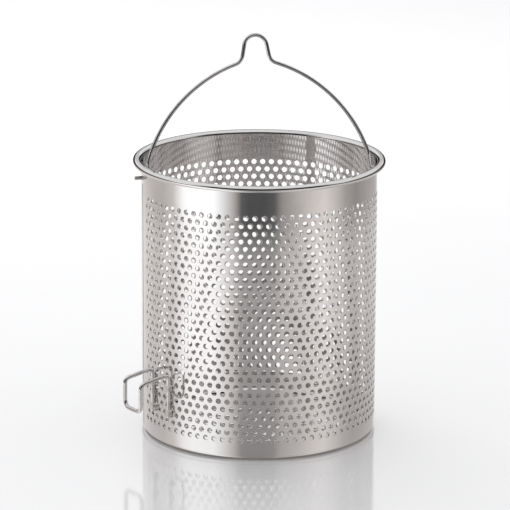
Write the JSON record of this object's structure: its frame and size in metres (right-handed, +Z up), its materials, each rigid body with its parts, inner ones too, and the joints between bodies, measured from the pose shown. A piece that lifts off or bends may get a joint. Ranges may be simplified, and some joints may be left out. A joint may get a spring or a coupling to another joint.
{
  "type": "basket strainer",
  "caption": "Deep cylindrical strainer basket of perforated stainless steel, with a wired rim, a perforated base, a folding wire bail and a wire hook that hangs it on a pot to drain.",
  "frame": {"origin": "centre of the base's underside, on the surface that the basket stands on", "axes": "+Z up the basket's axis, X along the bail's pivots with the sheet's seam facing -X, +Y to the side that the bail leans to at rest"},
  "size_m": [0.1515, 0.14, 0.2224],
  "materials": {
    "wall_sheet": "bright rolled stainless sheet, nearly a mirror, with a faint grain round the wall",
    "base_sheet": "bright rolled stainless sheet",
    "wire": "electropolished stainless wire",
    "bail_wire": "electropolished stainless wire, slightly drawn along its length",
    "weld": "ground and pickled weld, duller than the sheet"
  },
  "bodies": {
    "basket": {"perforated_wall": "wall_sheet", "seam_weld": "weld", "rim_wire": "wire", "base_pan": "base_sheet", "drain_hook": "wire", "hook_welds": "weld"},
    "bail": {"bail_handle": "bail_wire"}
  },
  "joints": [
    {"name": "bail_hinge", "type": "hinge", "parent": "basket", "child": "bail", "pos_m": [0, 0, 0.1463], "axis": [1, 0, 0], "range_deg": [-71, 91]}
  ]
}
